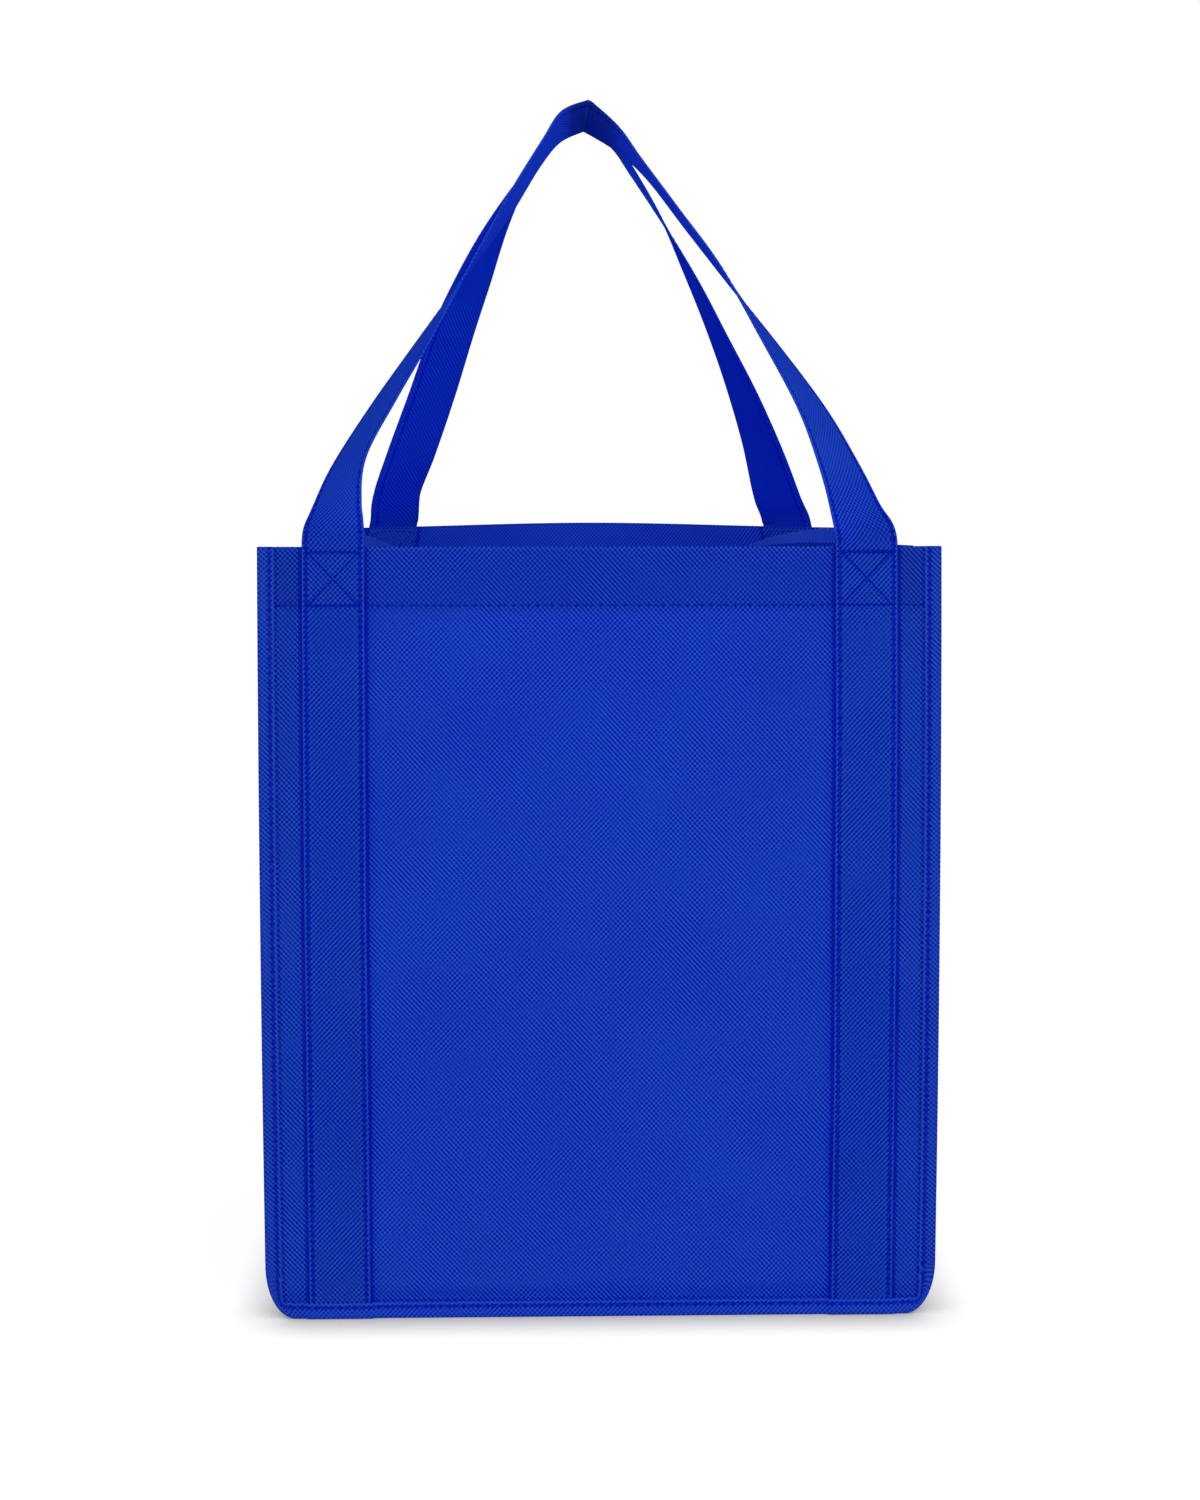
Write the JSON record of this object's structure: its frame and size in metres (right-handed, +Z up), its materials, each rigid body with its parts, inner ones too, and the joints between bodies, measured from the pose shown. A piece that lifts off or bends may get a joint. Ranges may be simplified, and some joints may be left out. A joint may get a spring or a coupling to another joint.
{
  "type": "non-woven tote bag",
  "caption": "Plain box-shaped non-woven shopping tote with bound seams, folded side walls, sewn straps and upright loop handles.",
  "frame": {"origin": "centre of the bounding box's bottom face, at floor level", "axes": "+Z up, the front panel faces -Y, +X to the right when the front is seen"},
  "size_m": [0.33, 0.3062, 0.5994],
  "materials": {
    "cloth": "blue non-woven polypropylene with a fine bonded lattice",
    "tape": "blue non-woven edge tape",
    "strap": "blue folded non-woven strap",
    "thread": "blue sewing thread",
    "board": "blue smooth stiff sheet"
  },
  "bodies": {
    "root": {"front_panel": "cloth", "back_panel": "cloth", "gusset_left": "cloth", "gusset_bottom": "cloth", "gusset_right": "cloth", "front_binding": "tape", "back_binding": "tape", "front_handle": "strap", "back_handle": "strap", "bottom_board": "board", "front_strap_thread_outer": "thread", "front_strap_thread_inner": "thread", "back_strap_thread_outer": "thread", "back_strap_thread_inner": "thread", "front_hem_thread_middle": "thread", "front_hem_thread_left": "thread", "front_hem_thread_right": "thread", "back_hem_thread_middle": "thread", "back_hem_thread_left": "thread", "back_hem_thread_right": "thread", "front_binding_thread": "thread", "back_binding_thread": "thread", "front_left_cross_thread": "thread", "front_right_cross_thread": "thread", "back_left_cross_thread": "thread", "back_right_cross_thread": "thread"}
  },
  "joints": []
}
